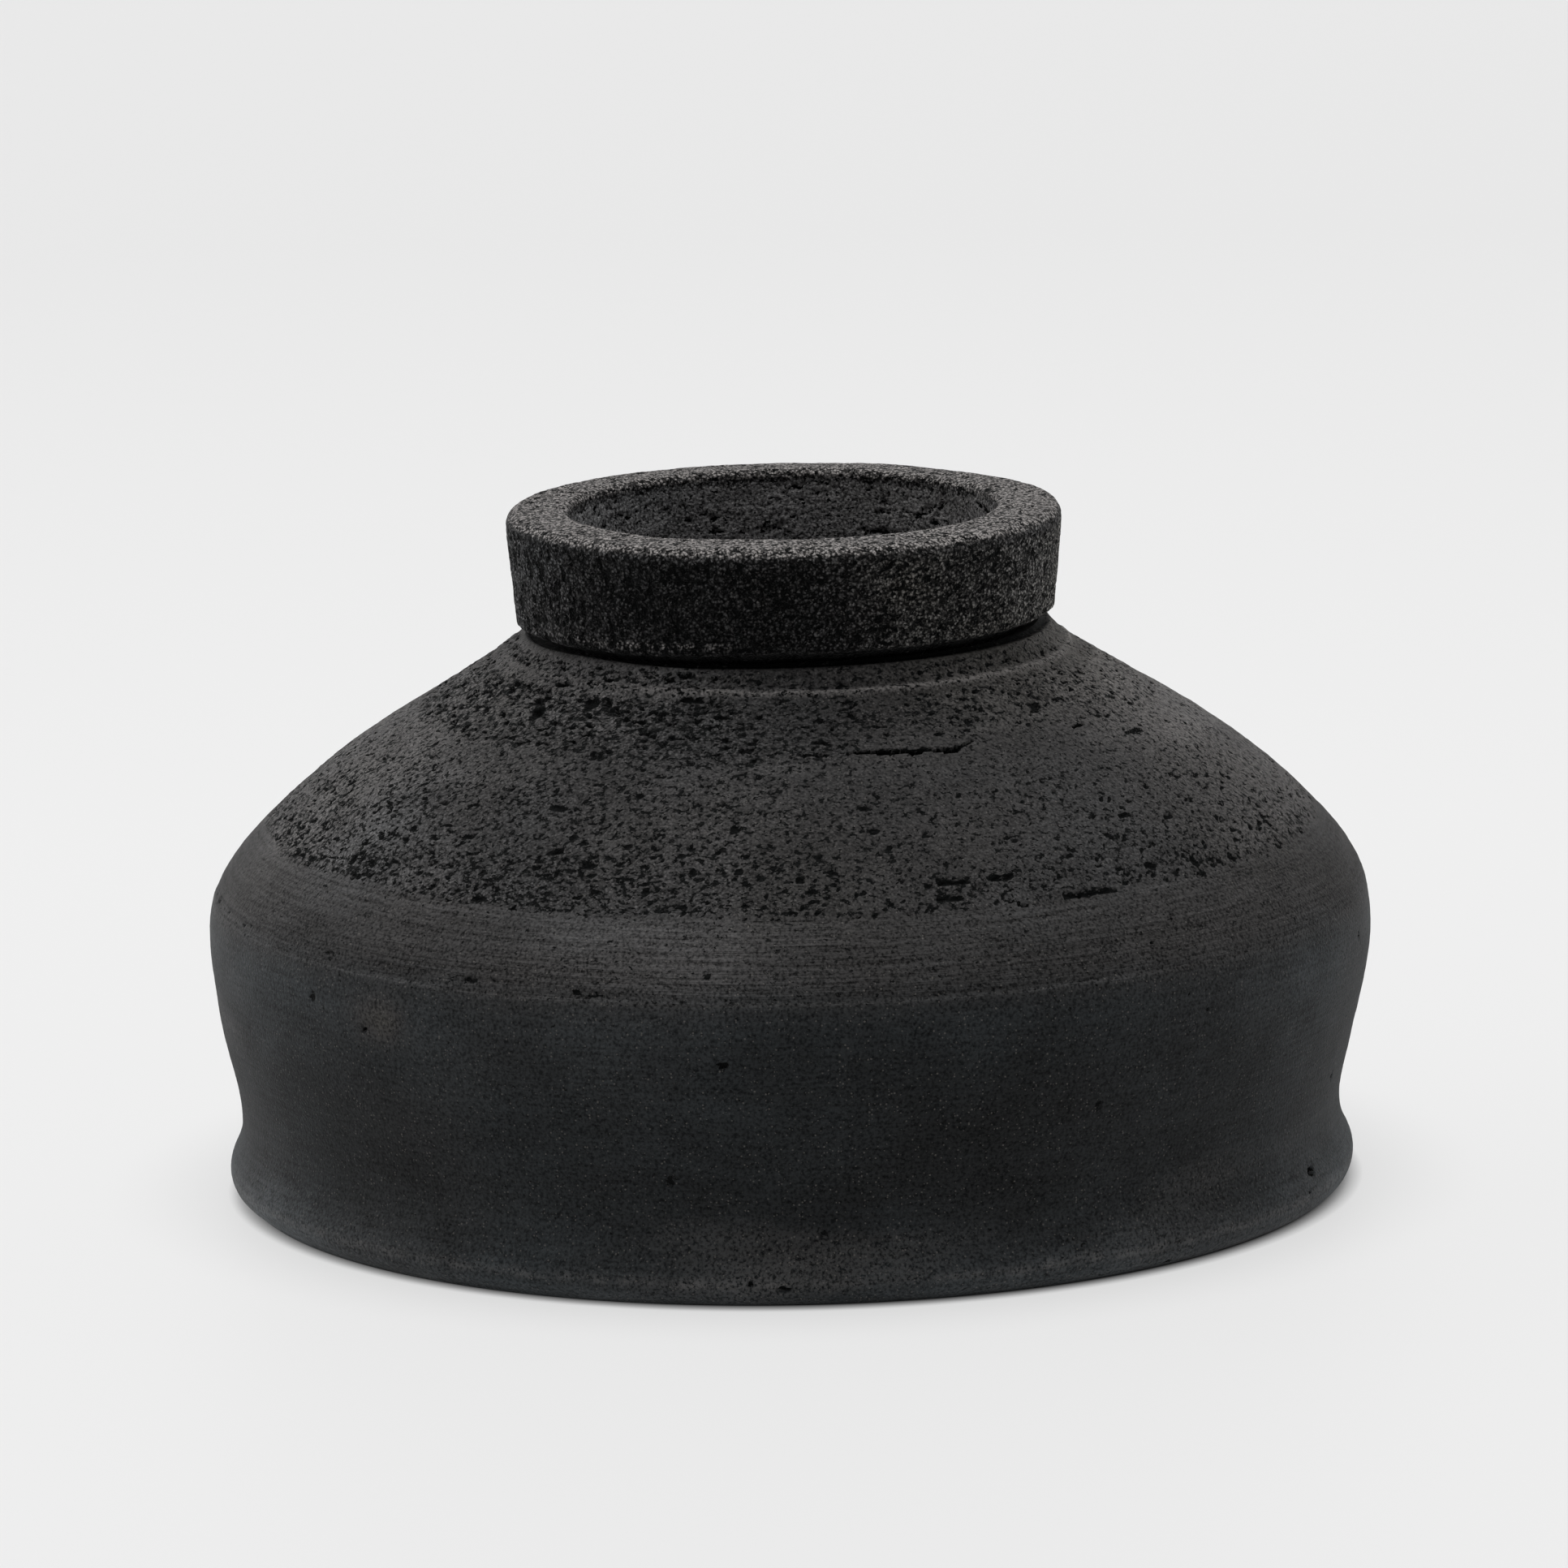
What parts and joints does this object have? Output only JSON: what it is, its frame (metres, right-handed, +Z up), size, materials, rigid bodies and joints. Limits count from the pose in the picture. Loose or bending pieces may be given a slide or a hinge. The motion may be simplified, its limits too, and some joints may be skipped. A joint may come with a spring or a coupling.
{
  "type": "wide clay pot with a thick collar",
  "caption": "Squat hand-built clay pot with a rolled foot, a round belly, a rough sloping shoulder and a thick upright collar round a wide mouth.",
  "frame": {"origin": "middle of the flat base, on the surface that the pot stands on", "axes": "+Z up along the pot's axis, out of its mouth; the pot is round, and -Y is its front"},
  "size_m": [0.3, 0.3, 0.1766],
  "materials": {
    "smoothed_clay": "unglazed, smoothed, sandy, matte with a faint sheen",
    "scraped_clay": "unglazed, scraped smooth with fine level lines, matte",
    "coarse_clay": "unglazed, coarse and pitted by dragged grit, matte",
    "wiped_clay": "unglazed, wiped while wet, matte",
    "collar_clay": "unglazed, coarse and granular, matte"
  },
  "bodies": {
    "root": {"floor_slab": "wiped_clay", "foot_coil": "smoothed_clay", "lower_wall": "smoothed_clay", "belly_band": "scraped_clay", "lower_shoulder_coil": "coarse_clay", "upper_shoulder_coil": "coarse_clay", "neck_coil": "wiped_clay", "collar_ring": "collar_clay"}
  },
  "joints": []
}
